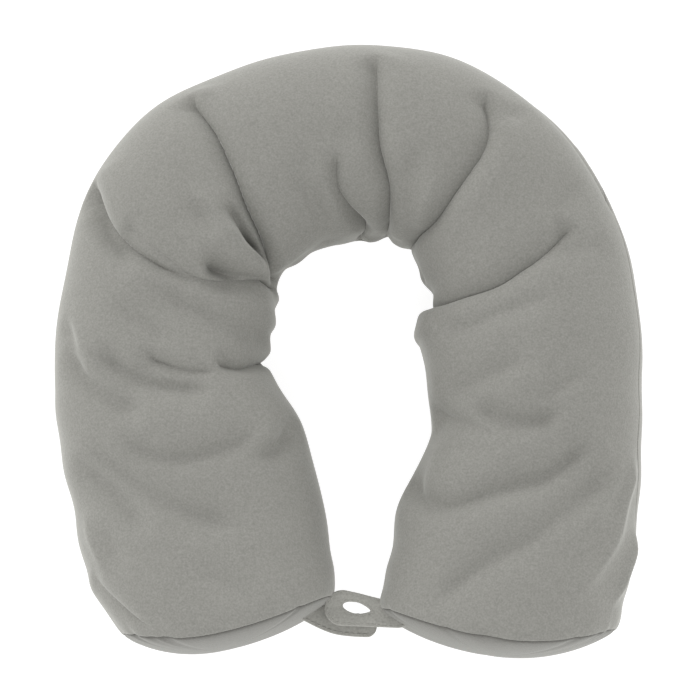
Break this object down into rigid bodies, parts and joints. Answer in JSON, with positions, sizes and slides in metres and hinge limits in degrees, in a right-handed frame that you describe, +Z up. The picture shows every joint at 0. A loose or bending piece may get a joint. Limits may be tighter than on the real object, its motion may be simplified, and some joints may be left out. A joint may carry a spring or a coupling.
{
  "type": "u shaped neck pillow",
  "caption": "Bead-filled fabric tube bent into a U round the neck, with a zipped cover and a tab and loop that join its two ends.",
  "frame": {"origin": "centre of the bounding box, on the surface that the pillow lies on", "axes": "+X to the right arm, +Y to the crown at the back of the neck, +Z up, away from the surface"},
  "size_m": [0.316, 0.3324, 0.09],
  "materials": {
    "cover_velour": "short velour pile, soft sheen",
    "liner_knit": "plain light knit",
    "bead_fill": "foam beads about 1 mm across",
    "zip_tape": "woven tape",
    "zip_coil": "dyed nylon coil",
    "zip_metal": "satin grey enamel",
    "strap_tape": "folded woven tape, edge stitched",
    "snap_metal": "nickel plated"
  },
  "bodies": {
    "crown": {"cover_crown_top": "cover_velour", "cover_crown_bottom": "cover_velour", "liner_crown": "liner_knit", "fill_crown": "bead_fill", "zip_tape_upper": "zip_tape", "zip_tape_lower": "zip_tape", "zip_coil_upper": "zip_coil", "zip_coil_lower": "zip_coil", "zip_top_stops": "zip_metal", "zip_bottom_stop": "zip_metal"},
    "left_arm": {"cover_left_top": "cover_velour", "cover_left_bottom": "cover_velour", "cover_left_end": "cover_velour", "liner_left": "liner_knit", "fill_left": "bead_fill"},
    "right_arm": {"cover_right_top": "cover_velour", "cover_right_bottom": "cover_velour", "cover_right_end": "cover_velour", "liner_right": "liner_knit", "fill_right": "bead_fill"},
    "left_tab": {"strap_tab": "strap_tape", "snap_stud": "snap_metal"},
    "right_loop": {"strap_loop": "strap_tape", "snap_socket": "snap_metal", "snap_spring": "snap_metal"},
    "zip_slider": {"zip_slider": "zip_metal"},
    "zip_pull": {"zip_pull": "zip_metal"}
  },
  "joints": [
    {"name": "left_arm_splay", "type": "hinge", "parent": "crown", "child": "left_arm", "pos_m": [-0.14894, 0.06241, 0.045], "axis": [0, 0, -1], "range_deg": [0, 35]},
    {"name": "right_arm_splay", "type": "hinge", "parent": "crown", "child": "right_arm", "pos_m": [0.14894, 0.06241, 0.045], "axis": [0, 0, 1], "range_deg": [0, 35]},
    {"name": "left_tab_flex", "type": "hinge", "parent": "left_arm", "child": "left_tab", "pos_m": [-0.02135, -0.14039, 0.041], "axis": [0.7547, 0.6561, 0], "range_deg": [0, 70], "stiffness_Nm_per_rad": 0.003},
    {"name": "right_loop_flex", "type": "hinge", "parent": "right_arm", "child": "right_loop", "pos_m": [0.02643, -0.14318, 0.0489], "axis": [-0.766, 0.6428, 0], "range_deg": [0, 70], "stiffness_Nm_per_rad": 0.003},
    {"name": "zip_travel", "type": "hinge", "parent": "crown", "child": "zip_slider", "pos_m": [0, 0.0082, 0.036], "axis": [0, 0, 1], "range_deg": [-96.8, 0]},
    {"name": "zip_pull_flip", "type": "hinge", "parent": "zip_slider", "child": "zip_pull", "pos_m": [-0.12047, 0.11167, 0.036], "axis": [0, 0, 1], "range_deg": [0, 165]}
  ]
}
